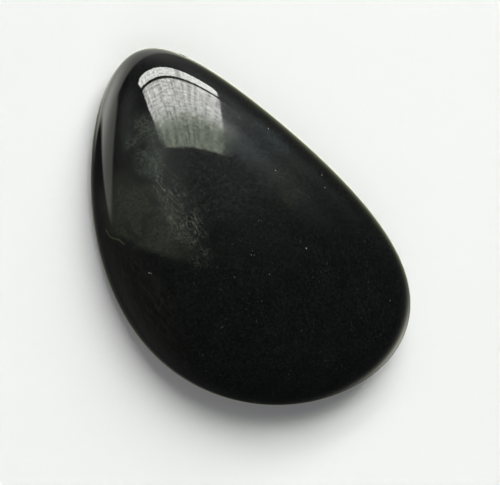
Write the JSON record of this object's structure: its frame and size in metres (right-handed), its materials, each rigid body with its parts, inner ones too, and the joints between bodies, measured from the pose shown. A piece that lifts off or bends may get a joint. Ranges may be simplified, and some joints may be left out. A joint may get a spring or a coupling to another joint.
{
  "type": "pear-shaped stone cabochon",
  "caption": "Polished pear-shaped stone with a low domed face, a rolled rim and a flat back that it lies on or is set by.",
  "frame": {"origin": "on the flat back, under the middle of the outline's box", "axes": "+Z out of the domed face, +Y along the stone towards its narrow tip, +X to the right when the face is seen with the tip up"},
  "size_m": [0.019, 0.028, 0.0055],
  "materials": {
    "polished_stone": "high polish, near-black with a dark green cast and faint mossy inclusions"
  },
  "bodies": {
    "root": {"stone": "polished_stone"}
  },
  "joints": []
}
